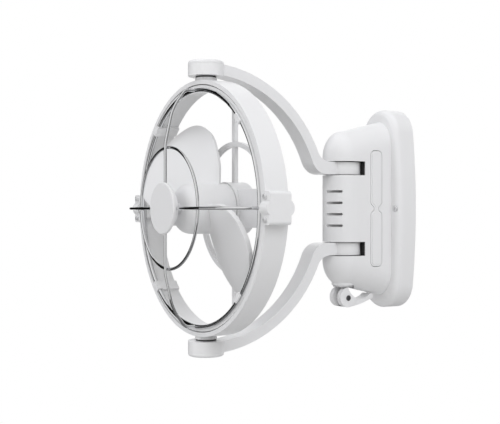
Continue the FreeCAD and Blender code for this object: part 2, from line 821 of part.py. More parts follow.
spoke_points = [V(0, ring_y - front, r) for r, front in guard_half]
whole = spoke_points + [V(0, p.y, -p.z) for p in reversed(spoke_points)]
save("guard_upright_spoke", bent_wire(whole, guard_bends + guard_bends[::-1]))
side_points = [V(r, ring_y - front, 0) for r, front in guard_half]
side_points.append(V(wire_r + fit, ring_y - guard_flat_front, 0))
side_spoke = bent_wire(side_points, guard_bends)
save("guard_level_spokes", [side_spoke, flip_x(side_spoke)])
save("guard_rim", wire_ring(guard_rim_r, ring_y - guard_rim_front))
save("guard_middle_ring", wire_ring(guard_mid_r, ring_y - guard_flat_front + 2 * wire_r + fit))

# Clips that hold the rim wire in the head ring.
clips = []
clip_y = ring_y - guard_rim_front
for k in range(clip_count):
    hook = tube(head_in_r, guard_rim_r - clip_in, *on_y(0, 0, ring_y - clip_front, ring_y - clip_neck))
    leg = tube(head_in_r, guard_rim_r - wire_r, *on_y(0, 0, ring_y - clip_neck, ring_y + head_half))
    width = block(0, ring_r, ring_y - ring_r, ring_y + ring_r, -clip_half_w, clip_half_w)
    clip = hook.fuse(leg).common(width)
    clip = clip.cut(Part.makeTorus(guard_rim_r, wire_r + press, V(0, clip_y, 0), V(0, 1, 0)))
    clip.rotate(V(0, 0, 0), V(0, 1, 0), clip_turn + 360 * k / clip_count)
    clips.append(clip)
save("guard_clips", clips)

# Bare centre badge and the plate behind the spokes.
face_y = ring_y - badge_front
spoke_y = ring_y - guard_flat_front - wire_r
badge = cyl(badge_r, *on_y(0, 0, face_y, spoke_y))
rim = [e for e in badge.Edges if abs(e.CenterOfMass.y - face_y) < tiny]
badge = badge.makeFillet(badge_edge_r, rim)
save("badge_disc", badge)
back = cyl(badge_back_r, *on_y(0, 0, spoke_y, ring_y - badge_back_y))
slot_y = ring_y - guard_flat_front + wire_r + clear
slot_half_w = wire_r + clear
back = back.cut(block(-badge_r, badge_r, spoke_y, slot_y, -slot_half_w, slot_half_w))
back = back.cut(block(-slot_half_w, slot_half_w, spoke_y, slot_y, -badge_r, badge_r))
save("badge_back", back)

# Motor, bearings, end cap and end cap screws.
motor_y0 = ring_y + motor_front
motor_y1 = motor_y0 + motor_len
motor = cyl(motor_r, *on_y(0, 0, motor_y0, motor_y1))
motor = motor.cut(cyl(shaft_r + 2 * clear, *on_y(0, 0, motor_y0, motor_y1)))
bearings = []
for y in (motor_y0, motor_y1 - bearing_w):
    motor = motor.cut(cyl(bearing_r, *on_y(0, 0, y, y + bearing_w)))
    bearings.append(tube(bearing_r - press, shaft_r + fit, *on_y(0, 0, y, y + bearing_w)))
cap = cyl(cup_in - fit, *on_y(0, 0, motor_y1, ring_y + cup_back))
cap = cap.cut(cyl(shaft_r + 2 * clear, *on_y(0, 0, motor_y1, motor_y1 + motor_sink)))
cap_screws = []
for k in range(2):
    a = math.radians(90 * (2 * k + 1))
    x = motor_screw_ring * math.cos(a)
    z = motor_screw_ring * math.sin(a)
    hole = on_y(x, z, motor_y1 - motor_len / 2, ring_y + cup_back)
    cap = cap.cut(cyl(screw_r + press, *hole))
    motor = motor.cut(cyl(screw_r + press, *hole))
    seat = V(x, ring_y + cup_back, z)
    cap_screws.append(screw(seat, V(0, -1, 0), motor_len / 2, 2 * screw_r, screw_r))
save("motor_body", motor)
save("motor_bearings", bearings)
save("motor_cap", cap)
save("motor_screws", cap_screws)


# Blade section: a bowed plate with round edges, across the blade at one distance out.
def blade_section(out, lead, trail):
    half = blade_t / 2
    front = lead - half
    rear = trail + half
    mid = (front + rear) / 2
    bow = blade_camber * (front - rear) / (blade_chord * 2)

    def at(t, lift):
        return V(out, ring_y - blade_forward - blade_slope_ratio * t - lift, t)

    return Part.Wire([
        arc(at(rear, half), at(mid, bow + half), at(front, half)),
        arc(at(front, half), at(lead, 0), at(front, -half)),
        arc(at(front, -half), at(mid, bow - half), at(rear, -half)),
        arc(at(rear, -half), at(trail, 0), at(rear, half)),
    ])


# Rotor: round hub with a blunt nose and broad paddle blades.
sections = []
for station, lead, trail in zip(blade_stations, blade_leads, blade_trails):
    out = blade_root + (blade_reach - blade_root) * station
    sections.append(blade_section(out, lead * blade_chord, trail * blade_chord))
blade = Part.makeLoft(sections, True, False)
spin = [
    V(0, ring_y + spinner_back, 0),
    V(spinner_r, ring_y + spinner_back, 0),
    V(spinner_r, ring_y - spinner_shoulder, 0),
    V(spinner_nose_r, ring_y - spinner_front, 0),
    V(0, ring_y - spinner_front, 0),
]
slant = spin[3] - spin[2]
outward = V(-slant.y, slant.x, 0).normalize()
bulge = (spin[2] + spin[3]) / 2 + outward * spinner_bulge
nose = Part.Face(Part.Wire([
    line(spin[0], spin[1]),
    line(spin[1], spin[2]),
    arc(spin[2], bulge, spin[3]),
    line(spin[3], spin[4]),
    line(spin[4], spin[0]),
]))
hub = nose.revolve(V(0, 0, 0), V(0, 1, 0), 360)
cavity = on_y(0, 0, ring_y - spinner_shoulder, ring_y + spinner_back)
hub = hub.cut(tube(spinner_r - spinner_wall, core_r, *cavity))
rotor = hub
for k in range(blade_count):
    one = blade.copy()
    one.rotate(V(0, 0, 0), V(0, 1, 0), -blade_angle + 360 * k / blade_count)
    rotor = rotor.fuse(one)
rotor = rotor.cut(cyl(shaft_r + press, *on_y(0, 0, ring_y - spinner_front, ring_y + spinner_back)))
save("fan_rotor", rotor)
save("motor_shaft", cyl(shaft_r, *on_y(0, 0, ring_y - spinner_front - shaft_nut_h, motor_y1)))
nut_line = on_y(0, 0, ring_y - spinner_front - shaft_nut_h, ring_y - spinner_front)
save("shaft_nut", tube(shaft_nut_r, shaft_r + press, *nut_line))
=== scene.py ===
import bpy
import json
import math
from mathutils import Euler, Matrix, Vector


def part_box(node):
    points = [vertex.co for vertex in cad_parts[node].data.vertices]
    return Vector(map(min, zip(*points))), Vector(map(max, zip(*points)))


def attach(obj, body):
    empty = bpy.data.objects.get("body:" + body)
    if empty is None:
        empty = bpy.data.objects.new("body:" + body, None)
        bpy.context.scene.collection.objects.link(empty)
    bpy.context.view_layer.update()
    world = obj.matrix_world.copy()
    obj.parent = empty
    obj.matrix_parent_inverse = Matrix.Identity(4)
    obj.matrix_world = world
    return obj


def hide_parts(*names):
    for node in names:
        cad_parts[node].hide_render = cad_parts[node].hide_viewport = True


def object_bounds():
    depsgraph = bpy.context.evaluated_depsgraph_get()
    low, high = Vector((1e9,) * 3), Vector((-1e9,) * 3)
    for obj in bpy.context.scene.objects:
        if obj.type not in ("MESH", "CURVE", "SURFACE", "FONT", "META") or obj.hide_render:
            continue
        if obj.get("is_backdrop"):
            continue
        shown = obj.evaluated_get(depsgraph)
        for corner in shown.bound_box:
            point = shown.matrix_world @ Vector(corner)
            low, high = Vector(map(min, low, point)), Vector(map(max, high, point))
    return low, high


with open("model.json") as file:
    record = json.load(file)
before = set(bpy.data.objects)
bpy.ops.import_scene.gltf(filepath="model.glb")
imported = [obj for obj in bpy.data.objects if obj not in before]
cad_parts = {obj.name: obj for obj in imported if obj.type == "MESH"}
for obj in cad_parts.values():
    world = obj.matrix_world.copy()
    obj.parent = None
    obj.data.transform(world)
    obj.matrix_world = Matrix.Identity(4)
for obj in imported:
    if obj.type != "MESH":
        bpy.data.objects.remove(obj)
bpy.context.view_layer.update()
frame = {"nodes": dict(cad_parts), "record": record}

nodes = frame["nodes"]
bodies = frame["record"]["behaviour"]["bodies"]
bodyOf = {node: body for body, members in bodies.items() for node in members}
slotOf = {row["node"]: row["material_slot"] for row in frame["record"]["subparts"]}
mm = 0.001
print("frame loaded:", len(nodes), "nodes")


def middleOf(node):
    low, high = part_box(node)
    return (low + high) / 2


rockerRise = 0.4 * mm  # of the rocker's panel above the nose of the base
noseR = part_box("control_rocker")[1].x - rockerRise
hingeY = middleOf("hinge_skewer").y
ringY = middleOf("pivot_pins").y


# A shader socket that takes plain maths, and makes any other node in its tree
class Sock:
    def __init__(self, tree, out=None):
        self.tree = tree
        self.out = out

    def node(self, kind, settings, sockets, give=0):
        made = self.tree.nodes.new(kind)
        for name, value in settings.items():
            setattr(made, name, value)
        for name, value in sockets.items():
            if isinstance(value, Sock):
                self.tree.links.new(value.out, made.inputs[name])
            else:
                made.inputs[name].default_value = value
        return Sock(self.tree, made.outputs[give])

    def maths(self, operation, first, second=0.0):
        return self.node("ShaderNodeMath", {"operation": operation}, {0: first, 1: second})

    def __add__(self, other):
        return self.maths("ADD", self, other)

    def __radd__(self, other):
        return self.maths("ADD", other, self)

    def __sub__(self, other):
        return self.maths("SUBTRACT", self, other)

    def __rsub__(self, other):
        return self.maths("SUBTRACT", other, self)

    def __mul__(self, other):
        return self.maths("MULTIPLY", self, other)

    def __rmul__(self, other):
        return self.maths("MULTIPLY", other, self)

    def __truediv__(self, other):
        return self.maths("DIVIDE", self, other)

    def __pow__(self, other):
        return self.maths("POWER", self, other)

    def __lt__(self, other):
        return self.maths("LESS_THAN", self, other)

    def __or__(self, other):
        return self.maths("MAXIMUM", self, other)

    def __abs__(self):
        return self.maths("ABSOLUTE", self)

    def noise(self, scale, detail):
        return self.node("ShaderNodeTexNoise", {}, {"Vector": self, "Scale": scale, "Detail": detail}, "Fac")

    def blend(self, first, second):
        return self.node("ShaderNodeMix", {"data_type": "RGBA"}, {0: self, 6: first, 7: second}, 2)

    def bump(self, strength, depth):
        return self.node("ShaderNodeBump", {}, {
            "Height": self, "Strength": strength, "Distance": depth}, "Normal")

    def axis(self, letter):
        return self.node("ShaderNodeSeparateXYZ", {}, {0: self}, letter)

    # Soft step from one level to another
    def rise(self, start, end, low=0.0, high=1.0):
        return self.node("ShaderNodeMapRange", {"interpolation_type": "SMOOTHSTEP"}, {
            "Value": self, "From Min": start, "From Max": end, "To Min": low, "To Max": high})


def newFinish(name, fixed):
    material = bpy.data.materials.new(name)
    material.use_nodes = True
    shader = material.node_tree.nodes["Principled BSDF"]
    for socket, value in fixed.items():
        shader.inputs[socket].default_value = value
    place = Sock(material.node_tree).node("ShaderNodeTexCoord", {}, {}, "Object")
    return material, shader, place


def feed(material, shader, sockets):
    for name, value in sockets.items():
        material.node_tree.links.new(value.out, shader.inputs[name])
    return material


noiseDetail = {"patch": 3.0, "grain": 2.0, "line": 4.0}


# Moulded plastic: faint flow shade, fine mould grain, and a gloss that varies in soft patches
def mouldedPlastic(name, look):
    material, shader, place = newFinish(name, {"IOR": look["ior"], "Coat Roughness": look["coatRough"]})
    cloud = place.noise(look["cloudScale"], noiseDetail["patch"])
    grain = place.noise(look["grainScale"], noiseDetail["grain"])
    colour = cloud.blend(look["shade"], look["light"])
    # Painted shade for the base: its hollow behind the arm slots is coloured near black
    if "hollow" in look:
        colour = paintedHollowShade(place, colour, look["hollow"])
    return feed(material, shader, {
        "Base Color": colour,
        "Roughness": cloud * look["roughSwing"] + (look["rough"] - look["roughSwing"] / 2),
        "Coat Weight": cloud * look["coatSwing"],
        "Normal": grain.bump(look["grainBump"], look["grainDepth"])})


# Painted shade: the hollow of the base is painted near black where the arm slots look into it, standing in
# for the shade of the deep cavity, and left plain behind the vents
def paintedHollowShade(place, colour, hollow):
    x, y, z = [place.axis(letter) for letter in "XYZ"]
    behind = y - hingeY
    ahead = (behind < 0) * behind
    reach = (x * x + ahead * ahead) ** 0.5
    tall = (abs(z) < hollow["halfHeight"]) - (abs(z) < hollow["ventHalf"])
    return ((reach < hollow["radius"]) * tall).blend(colour, hollow["dark"])


# Black and coloured plastic or rubber, with no clear skin
def darkMoulding(name, look):
    material, shader, place = newFinish(name, {"IOR": look["ior"]})
    cloud = place.noise(look["cloudScale"], noiseDetail["patch"])
    grain = place.noise(look["grainScale"], noiseDetail["grain"])
    return feed(material, shader, {
        "Base Color": cloud.blend(look["shade"], look["light"]),
        "Roughness": cloud * look["roughSwing"] + look["rough"],
        "Normal": grain.bump(look["grainBump"], look["grainDepth"])})


# Bright plating with a slight haze
def platedWire(name, look):
    material, shader, place = newFinish(name, {"Metallic": 1.0})
    haze = place.noise(look["hazeScale"], noiseDetail["patch"])
    fleck = place.noise(look["fleckScale"], noiseDetail["line"])
    return feed(material, shader, {
        "Base Color": haze.blend(look["shade"], look["light"]),
        "Roughness": fleck * look["roughSwing"] + look["rough"],
        "Normal": haze.bump(look["bump"], look["depth"])})


# Turned or pressed steel, with fine drawn lines
def turnedSteel(name, look):
    material, shader, place = newFinish(name, {"Metallic": look["metal"]})
    drawn = place.node("ShaderNodeMapping", {}, {"Vector": place, "Scale": look["draw"]})
    lines = drawn.noise(look["lineScale"], noiseDetail["line"])
    stain = place.noise(look["stainScale"], noiseDetail["patch"])
    return feed(material, shader, {
        "Base Color": stain.blend(look["shade"], look["light"]),
        "Roughness": lines * look["roughSwing"] + look["rough"],
        "Normal": lines.bump(look["bump"], look["depth"])})


whiteLook = {
    "light": (0.81, 0.81, 0.815, 1), "shade": (0.775, 0.775, 0.78, 1), "ior": 1.46,
    "rough": 0.34, "roughSwing": 0.10, "coatRough": 0.18, "coatSwing": 0.30, "cloudScale": 14.0,
    "grainScale": 1400.0, "grainBump": 0.05, "grainDepth": 0.2 * mm,
}
bladeLook = dict(whiteLook, rough=0.46)
# Base plastic with painted shade: inside the hollow, at the arm slots' height, the near black colour dark is
# painted in as the cavity's shade
baseLook = dict(whiteLook, hollow={
    "radius": noseR - 0.9 * mm, "halfHeight": 46.0 * mm, "ventHalf": 22.0 * mm,
    "dark": (0.012, 0.012, 0.012, 1)})
chromeLook = {
    "light": (0.82, 0.825, 0.83, 1), "shade": (0.74, 0.745, 0.76, 1), "rough": 0.03, "roughSwing": 0.04,
    "hazeScale": 30.0, "fleckScale": 900.0, "bump": 0.04, "depth": 0.1 * mm,
}
zincLook = {
    "light": (0.84, 0.84, 0.845, 1), "shade": (0.74, 0.74, 0.75, 1), "rough": 0.5, "roughSwing": 0.16,
    "metal": 0.55, "draw": (1.0, 0.12, 1.0), "lineScale": 2600.0, "stainScale": 160.0,
    "bump": 0.06, "depth": 0.1 * mm,
}  # dull plating, so less than full metal
steelLook = dict(zincLook, metal=1.0)
oxideLook = dict(steelLook, light=(0.30, 0.30, 0.31, 1), shade=(0.22, 0.22, 0.23, 1), rough=0.34)
pinLook = dict(steelLook, light=(0.50, 0.50, 0.51, 1), shade=(0.40, 0.40, 0.41, 1), rough=0.28)
motorLook = dict(
    steelLook, light=(0.42, 0.43, 0.44, 1), shade=(0.30, 0.31, 0.32, 1), rough=0.36, lineScale=900.0)
nylonLook = {
    "light": (0.030, 0.030, 0.031, 1), "shade": (0.016, 0.016, 0.017, 1), "ior": 1.5,
    "rough": 0.42, "roughSwing": 0.14, "cloudScale": 60.0,
    "grainScale": 1600.0, "grainBump": 0.12, "grainDepth": 0.2 * mm,
}
rubberLook = dict(nylonLook, rough=0.70, grainBump=0.25)
boardLook = dict(nylonLook, light=(0.03, 0.20, 0.08, 1), shade=(0.02, 0.13, 0.05, 1), rough=0.35)
slotFinish = {
    "white_plastic": mouldedPlastic("whitePlastic", whiteLook),
    "rotor_plastic": mouldedPlastic("bladePlastic", bladeLook),
    "chrome_wire": platedWire("chromeWire", chromeLook),
    "black_nylon": darkMoulding("blackNylon", nylonLook),
    "black_rubber": darkMoulding("blackRubber", rubberLook),
    "screw_steel": turnedSteel("zincSteel", zincLook),
    "pin_steel": turnedSteel("pinSteel", pinLook),
    "black_steel": turnedSteel("blackSteel", oxideLook),
    "motor_steel": turnedSteel("motorSteel", motorLook),
    "board_green": darkMoulding("boardGreen", boardLook),
}
# Finish of the base: white plastic with painted shade, near black in the hollow where the arm slots look in
basePlasticPaintedShade = mouldedPlastic("basePlasticPaintedShade", baseLook)
for name, node in nodes.items():
    node.data.materials.clear()
    node.data.materials.append(slotFinish[slotOf[name]])
print("finishes made:", len(slotFinish) + 1)

smoothAngle = math.radians(35.0)  # steeper edges stay sharp
endFacing = 0.9  # cosine past which a face counts as facing a way
alongX = (0, math.pi / 2, 0)
alongY = (math.pi / 2, 0, 0)


def deselectAll():
    bpy.ops.object.select_all(action="DESELECT")


def makeActive(piece):
    deselectAll()
    piece.select_set(True)
    bpy.context.view_layer.objects.active = piece


def standFor(piece, node, material=None):
    piece.data.materials.clear()
    piece.data.materials.append(material or slotFinish[slotOf[node]])
    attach(piece, bodyOf[node])
    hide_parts(node)


def applyModifier(piece, kind, settings):
    makeActive(piece)
    modifier = piece.modifiers.new(kind.lower(), kind)
    for name, value in settings.items():
        setattr(modifier, name, value)
    bpy.ops.object.modifier_apply(modifier=modifier.name)


def weldOrCut(piece, tool, operation):
    applyModifier(piece, "BOOLEAN", {"operation": operation, "object": tool})
    bpy.data.objects.remove(tool)


def joinInto(piece, others):
    makeActive(piece)
    for one in others:
        one.select_set(True)
    bpy.ops.object.join()


# Cylinder with its place and turn in its mesh
def addCylinder(sides, radius, length, middle, turn):
    deselectAll()
    bpy.ops.mesh.primitive_cylinder_add(
        vertices=sides, radius=radius, depth=length, location=middle, rotation=turn)
    bpy.ops.object.transform_apply(location=True, rotation=True, scale=True)
    return bpy.context.object


# Copy of a model with its own mesh, moved and turned
def copyTo(model, name, move):
    one = bpy.data.objects.new(name, model.data.copy())
    bpy.context.scene.collection.objects.link(one)
    one.data.transform(move)
    return one


# Selects the flat end that faces the given way and nothing else, and goes on in edit mode
def editEnd(piece, way):
    for part in (piece.data.vertices, piece.data.edges, piece.data.polygons):
        for one in part:
            one.select = False
    for face in piece.data.polygons:
        face.select = face.normal.dot(way) > endFacing
    bpy.ops.object.mode_set(mode="EDIT")


def crownEnd(piece, way, width, steps):
    editEnd(piece, way)
    bpy.ops.mesh.bevel(offset=width, segments=steps, affect="EDGES")
    bpy.ops.object.mode_set(mode="OBJECT")


softEdge = {
    "merge": 0.001 * mm, "flatAngle": 0.4, "sharpAngle": 32.0, "segments": 3, "armSmooth": 50.0,
    "flatWeight": 100,
}
softWidths = {  # in millimetres
    "base_housing": ("baseShell", 0.5),
    "upper_arm": ("upperYokeArm", 1.4), "lower_arm": ("lowerYokeArm", 1.4),
    "upper_lid": ("upperEndCap", 0.3), "lower_lid": ("lowerEndCap", 0.3),
    "gimbal_ring": ("gimbalHoop", 0.7),
    "left_block_cover": ("leftPivotCover", 0.4), "right_block_cover": ("rightPivotCover", 0.4),
    "head_frame": ("headFrame", 0.7), "guard_clips": ("guardClips", 0.5), "badge_disc": ("badgeDisc", 0.25),
    "cam_lever": ("camLever", 0.8), "control_rocker": ("sideRocker", 0.3), "motor_cap": ("motorCap", 0.5),
}


# Copy of a node with its doubles merged, left in edit mode with all of it selected
def copyNode(node, name):
    piece = copyTo(nodes[node], name, Matrix())
    makeActive(piece)
    bpy.ops.object.mode_set(mode="EDIT")
    bpy.ops.mesh.customdata_custom_splitnormals_clear()
    bpy.ops.mesh.select_all(action="SELECT")
    bpy.ops.mesh.remove_doubles(threshold=softEdge["merge"])
    return piece


# The lever is hollowed in one round sweep behind its pin, which leaves a curved handle
leverScoop = {"radius": 16.6 * mm, "back": 15.6 * mm, "up": 14.8 * mm, "width": 30.0 * mm, "sides": 128}


def scoopLever(lever):
    middle = middleOf("cam_pin") + Vector((0, leverScoop["back"], leverScoop["up"]))
    cutter = addCylinder(leverScoop["sides"], leverScoop["radius"], leverScoop["width"], middle, alongX)
    weldOrCut(lever, cutter, "DIFFERENCE")


# A slanting baffle behind each vent slot, so that the slot runs out toward the front of the nose
ventBaffle = {
    "count": 4, "pitch": 10.15 * mm, "height": 3.0 * mm, "thick": 2.0 * mm,
    "startDeep": 1.0 * mm, "startTurn": -2.0, "endDeep": 6.5 * mm, "endTurn": 50.0,
}


def onNose(deep, turn):
    way = math.radians(turn - 90)
    return Vector((math.cos(way), math.sin(way), 0)) * (noseR - deep)


def baffleVents(shell):
    size = ventBaffle
    start = onNose(size["startDeep"], size["startTurn"])
    end = onNose(size["endDeep"], size["endTurn"])
    along = end - start
    inward = Vector((-along.y, along.x, 0)).normalized() * size["thick"] / 2
    deselectAll()
    bpy.ops.mesh.primitive_cube_add(
        size=1, location=(start + end) / 2 + inward + Vector((0, hingeY, 0)),
        rotation=(0, 0, math.atan2(along.y, along.x)), scale=(along.length, size["thick"], size["height"]))
    bpy.ops.object.transform_apply(location=True, rotation=True, scale=True)
    model = bpy.context.object
    for k in range(size["count"]):
        up = (k - (size["count"] - 1) / 2) * size["pitch"]
        weldOrCut(shell, copyTo(model, "baffle", Matrix.Translation((0, 0, up))), "UNION")
    bpy.data.objects.remove(model)


reshape = {"cam_lever": scoopLever, "base_housing": baffleVents}


# Softened copy of a moulding: flat fans joined, sharp edges rounded, large faces kept flat beside them
def softenNode(node, name, width, smooth):
    piece = copyNode(node, name)
    bpy.ops.mesh.dissolve_limited(angle_limit=math.radians(softEdge["flatAngle"]))
    bpy.ops.object.mode_set(mode="OBJECT")
    if node in reshape:
        reshape[node](piece)
    applyModifier(piece, "BEVEL", {
        "limit_method": "ANGLE", "angle_limit": math.radians(softEdge["sharpAngle"]), "width": width,
        "segments": softEdge["segments"]})
    bpy.ops.object.shade_smooth_by_angle(angle=smooth)
    applyModifier(piece, "WEIGHTED_NORMAL", {"keep_sharp": True, "weight": softEdge["flatWeight"]})
    return piece


for node, (name, width) in softWidths.items():
    smooth = math.radians(softEdge["armSmooth"]) if node.endswith("arm") else smoothAngle
    piece = softenNode(node, name, width * mm, smooth)
    # the base takes the finish with painted shade in its hollow
    standFor(piece, node, basePlasticPaintedShade if node == "base_housing" else None)
print("soft edges on", len(softWidths), "mouldings")

# Rim of the wire guard, in heavier wire than the spokes
rimSwell = 0.5 * mm
rim = copyNode("guard_rim", "guardRim")
bpy.ops.transform.shrink_fatten(value=rimSwell)
bpy.ops.object.mode_set(mode="OBJECT")
bpy.ops.object.shade_smooth()
standFor(rim, "guard_rim")
print("rim swelled:", len(rim.data.polygons), "faces")


# Smooth curve through a row of values, as a spring rule lies through pins
def ruleThrough(places, values, at):
    last = len(places) - 1
    k = max([i for i in range(last) if places[i] <= at] or [0])

    def steep(i):
        before, after = max(i - 1, 0), min(i + 1, last)
        return (values[after] - values[before]) / (places[after] - places[before])

    gap = places[k + 1] - places[k]
    u = (at - places[k]) / gap
    start = values[k] * (1 + 2 * u) + steep(k) * gap * u
    end = values[k + 1] * (3 - 2 * u) - steep(k + 1) * gap * (1 - u)
    return start * (1 - u) ** 2 + end * u ** 2


# Rotor: a turned hub with a blunt nose, and two thick paddles that twist as they near it
hubSize = {
    "radius": 21.0 * mm, "back": 16.8 * mm, "shoulder": 14.0 * mm, "sides": 120,
    "noseR": 12.0 * mm, "noseLength": 11.0 * mm, "noseBulge": 2.8 * mm, "noseSteps": 9,
}
paddleSize = {
    "turns": (148.0, 328.0), "forward": 3.0 * mm, "slope": 0.42, "camber": 2.5 * mm, "chord": 80.0 * mm,
    "thick": 3.7 * mm, "edge": 0.9 * mm, "edgeSteps": 4, "edgeAngle": 60.0,
    "rows": 70, "columns": 40, "tipCrowd": 1.8,
    "out": (2.0, 5.6, 17.1, 32.3, 46.3, 60.4, 72.3, 80.4, 86.4, 89.9),  # these four in millimetres
    "lead": (14.0, 14.0, 14.0, 24.0, 31.2, 34.0, 33.6, 30.0, 24.8, 17.2),
    "trail": (-17.5, -20.5, -31.5, -40.0, -44.0, -43.6, -38.8, -30.0, -17.2, -3.2),
    "back": (5.0, 4.3, 1.8, 0.0, 0.0, 0.0, 0.0, 0.0, 0.0, 0.0),  # of the trailing edge, toward the wall
}


def spinHub(size):
    length = size["back"] + size["shoulder"]
    middle = (0, ringY + size["back"] - length / 2, 0)
    hub = addCylinder(size["sides"], size["radius"], length, middle, alongY)

    def nose(share):
        swell = 4 * share * (1 - share) * size["noseBulge"] / math.sqrt(2)
        wide = size["radius"] + (size["noseR"] - size["radius"]) * share + swell
        return wide, size["noseLength"] * share + swell

    editEnd(hub, Vector((0, -1, 0)))
    for k in range(size["noseSteps"]):
        lastWide, lastOut = nose(k / size["noseSteps"])
        wide, out = nose((k + 1) / size["noseSteps"])
        bpy.ops.mesh.extrude_region_move(TRANSFORM_OT_translate={"value": (0, lastOut - out, 0)})
        bpy.ops.transform.resize(value=(wide / lastWide, 1, wide / lastWide))
    bpy.ops.object.mode_set(mode="OBJECT")
    return hub


# One paddle that points along X: a grid bent to its outline, then given its thickness and a soft rim
def bendPaddle(size):
    deselectAll()
    bpy.ops.mesh.primitive_grid_add(x_subdivisions=size["columns"], y_subdivisions=size["rows"], size=2)
    paddle = bpy.context.object
    first, last = size["out"][0], size["out"][-1]
    for point in paddle.data.vertices:
        far = 1 - (1 - (point.co.y + 1) / 2) ** size["tipCrowd"]
        out = first + (last - first) * far
        lead, trail, back = [
            ruleThrough(size["out"], size[name], out) * mm for name in ("lead", "trail", "back")]
        across = trail + (lead - trail) * (point.co.x + 1) / 2
        bow = size["camber"] * (lead - trail) / size["chord"] * (1 - point.co.x ** 2)
        behind = max(across / trail, 0.0) * back - size["slope"] * across - bow - size["forward"]
        point.co = (out * mm, ringY + behind, across)
    applyModifier(paddle, "SOLIDIFY", {"thickness": size["thick"], "offset": 0.0})
    applyModifier(paddle, "BEVEL", {
        "limit_method": "ANGLE", "angle_limit": math.radians(size["edgeAngle"]), "width": size["edge"],
        "segments": size["edgeSteps"]})
    bpy.ops.object.mode_set(mode="EDIT")
    bpy.ops.mesh.select_all(action="SELECT")
    bpy.ops.mesh.normals_make_consistent(inside=False)
    bpy.ops.object.mode_set(mode="OBJECT")
    return paddle


rotor = spinHub(hubSize)
rotor.name = "paddleRotor"
model = bendPaddle(paddleSize)
for turn in paddleSize["turns"]:
    spin = Matrix.Rotation(-math.radians(turn), 4, "Y")
    weldOrCut(rotor, copyTo(model, "paddle", spin), "UNION")
bpy.data.objects.remove(model)
bpy.ops.object.shade_smooth_by_angle(angle=smoothAngle)
standFor(rotor, "fan_rotor")
print("rotor made:", len(rotor.data.polygons), "faces")


# Pan head screw with a crossed drive, made once for each size and copied to its places
def crossScrew(name, size):
    seat = (0, -size["headH"] / 2, 0)
    head = addCylinder(size["headSides"], size["headR"], size["headH"], seat, alongY)
    head.name = name
    crownEnd(head, Vector((0, -1, 0)), size["crown"], size["crownSteps"])
    for wide, tall in ((size["driveR"], size["driveHalfW"]), (size["driveHalfW"], size["driveR"])):
        deselectAll()
        bpy.ops.mesh.primitive_cube_add(
            size=2, location=(0, -size["headH"], 0), scale=(wide, size["driveDepth"], tall))
        weldOrCut(head, bpy.context.object, "DIFFERENCE")
    middle = (0, size["shankLength"] / 2, 0)
    shank = addCylinder(size["shankSides"], size["shankR"], size["shankLength"], middle, alongY)
    joinInto(head, [shank])
    bpy.ops.object.shade_smooth_by_angle(angle=smoothAngle)
    return head


def placeScrews(node, name, size, places):
    model = crossScrew(name + "Model", size)
    copies = []
    for k, place in enumerate(places):
        spin = Euler((0, math.radians(size["turns"][k]), size["faceTurn"]))
        move = Matrix.Translation(place) @ spin.to_matrix().to_4x4()
        copies.append(copyTo(model, name + str(k), move))
    bpy.data.objects.remove(model)
    joinInto(copies[0], copies[1:])
    copies[0].name = name
    standFor(copies[0], node)


screwSize = {
    "headH": 1.8 * mm, "crown": 0.8 * mm, "crownSteps": 5, "driveHalfW": 0.32 * mm, "driveDepth": 0.9 * mm,
    "shankR": 1.2 * mm, "headSides": 40, "shankSides": 24, "turns": (12, 50, -20, 33), "faceTurn": 0.0,
}
low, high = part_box("cover_screws")
size = dict(screwSize, headR=2.1 * mm, driveR=1.25 * mm, shankLength=high.y - low.y - screwSize["headH"])
placeScrews("cover_screws", "coverScrews", size, [
    Vector((x, low.y + size["headH"], z))
    for x in (low.x + size["headR"], high.x - size["headR"])
    for z in (low.z + size["headR"], high.z - size["headR"])])
low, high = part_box("housing_screws")
size = dict(screwSize, headR=2.6 * mm, driveR=1.5 * mm, shankLength=high.y - low.y - screwSize["headH"])
placeScrews("housing_screws", "housingScrews", size, [
    Vector((x, low.y + size["headH"], (low.z + high.z) / 2))
    for x in (low.x + size["headR"], high.x - size["headR"])])
low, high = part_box("motor_screws")
size = dict(screwSize, headR=2.4 * mm, driveR=1.4 * mm, shankLength=high.y - low.y - screwSize["headH"],
            faceTurn=math.pi)
placeScrews("motor_screws", "motorScrews", size, [
    Vector(((low.x + high.x) / 2, high.y - size["headH"], z))
    for z in (low.z + size["headR"], high.z - size["headR"])])
print("screws placed")

# Cam pin with a low domed head at each end
pinSize = {
    "sides": 40, "headR": 2.5 * mm, "headH": 0.7 * mm, "sunk": 0.1 * mm, "crown": 0.4 * mm, "crownSteps": 4,
}
low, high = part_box("cam_pin")
middle = middleOf("cam_pin")
camPin = addCylinder(pinSize["sides"], (high.z - low.z) / 2, high.x - low.x, middle, alongX)
camPin.name = "camPin"
for side, end in ((-1, low.x), (1, high.x)):
    out = pinSize["headH"] / 2 - pinSize["sunk"]
    place = (end + side * out, middle.y, middle.z)
    head = addCylinder(pinSize["sides"], pinSize["headR"], pinSize["headH"], place, alongX)
    crownEnd(head, Vector((side, 0, 0)), pinSize["crown"], pinSize["crownSteps"])
    joinInto(camPin, [head])
bpy.ops.object.shade_smooth_by_angle(angle=smoothAngle)
standFor(camPin, "cam_pin")
print("cam pin made")


def wayTo(azimuth, lift):
    turn, rise = math.radians(azimuth), math.radians(lift)
    return Vector((math.sin(turn) * math.cos(rise), -math.cos(turn) * math.cos(rise), math.sin(rise)))


def rayKinds(tree):
    kinds = ("Is Camera Ray", "Is Glossy Ray", "Is Transmission Ray")
    return [Sock(tree).node("ShaderNodeLightPath", {}, {}, kind) for kind in kinds]


